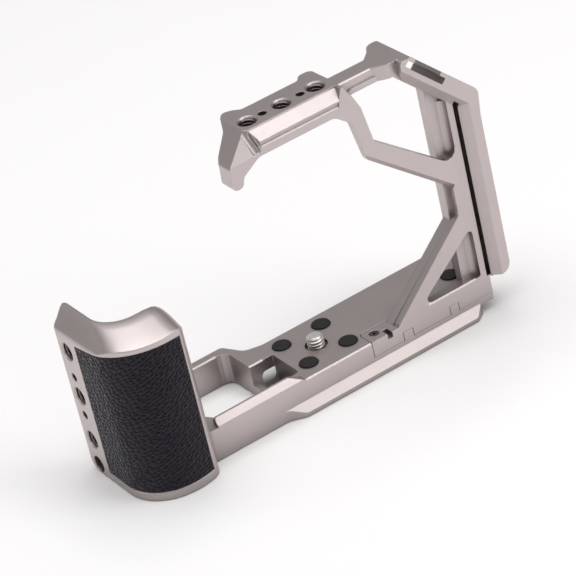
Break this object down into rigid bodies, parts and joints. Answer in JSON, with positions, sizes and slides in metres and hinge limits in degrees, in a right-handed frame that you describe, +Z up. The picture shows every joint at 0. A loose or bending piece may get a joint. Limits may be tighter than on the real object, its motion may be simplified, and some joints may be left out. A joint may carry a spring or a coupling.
{
  "type": "camera cage",
  "caption": "Half cage for a small camera: quick-release base with a captive screw, side arm with cold shoe and holed top rail, and a leather-covered hand grip.",
  "frame": {"origin": "on the camera screw's axis, in the plane of the base's underside", "axes": "+X along the base from the grip to the arm, +Y to the back of the camera, +Z up along the camera screw"},
  "size_m": [0.1634, 0.0519, 0.1118],
  "materials": {
    "metal": "bead-blasted and anodised warm grey",
    "steel": "turned stainless steel",
    "spring_steel": "tempered, dull",
    "fastener": "dark plated",
    "washer": "black nylon",
    "pad": "matt black",
    "leather": "black, pebbled grain"
  },
  "bodies": {
    "cage": {"base_plate": "metal", "snap_ring": "spring_steel", "pad_front_left": "pad", "pad_front_right": "pad", "pad_back_left": "pad", "pad_back_right": "pad", "pad_arm": "pad", "side_arm": "metal", "arm_top_screw": "fastener", "arm_foot_screw_left": "fastener", "arm_foot_screw_right": "fastener", "grip_shell": "metal", "grip_leather": "leather", "grip_side_screw": "fastener", "grip_front_screw_left": "fastener", "grip_front_screw_right": "fastener"},
    "washer": {"screw_washer": "washer"},
    "screw": {"camera_screw": "steel"}
  },
  "joints": [
    {"name": "screw_lift", "type": "slide", "parent": "cage", "child": "washer", "axis": [0, 0, 1], "range_m": [-0.0022, 0]},
    {"name": "screw_turn", "type": "hinge", "parent": "washer", "child": "screw", "pos_m": [0, 0, 0.006], "axis": [0, 0, 1], "continuous": true}
  ]
}
